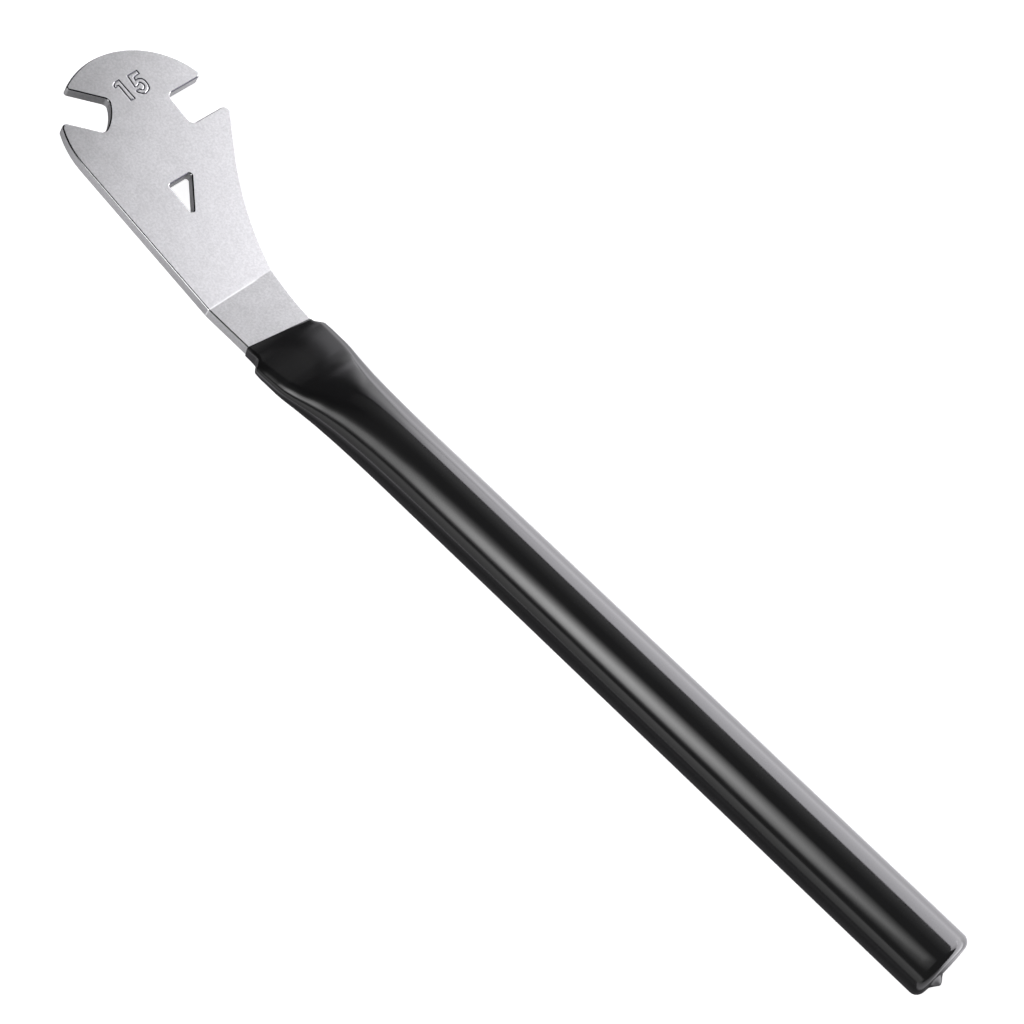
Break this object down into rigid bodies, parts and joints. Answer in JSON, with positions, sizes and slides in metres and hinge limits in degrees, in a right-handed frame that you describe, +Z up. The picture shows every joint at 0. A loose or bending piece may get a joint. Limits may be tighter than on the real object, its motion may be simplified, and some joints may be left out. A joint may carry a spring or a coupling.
{
  "type": "pedal wrench",
  "caption": "Long-handled bicycle pedal wrench: a bent flat steel head with two open jaws for pedal flats and a three-cornered hole, on a flattened steel tube dipped in a soft black sleeve",
  "frame": {"origin": "middle of the bounding box in plan, on the surface the wrench lies on", "axes": "+X runs along the handle towards the head, +Z is up, and the right-hand horn of the head, on the -Y side, touches the surface"},
  "size_m": [0.4726, 0.0706, 0.0398],
  "materials": {
    "plate_steel": "satin plated, fine even grain",
    "tube_steel": "plain drawn tube, hidden under the sleeve",
    "sleeve_vinyl": "semi-gloss dipped vinyl"
  },
  "bodies": {
    "root": {"jaw_plate": "plate_steel", "handle_tube": "tube_steel", "grip_sleeve": "sleeve_vinyl"}
  },
  "joints": []
}
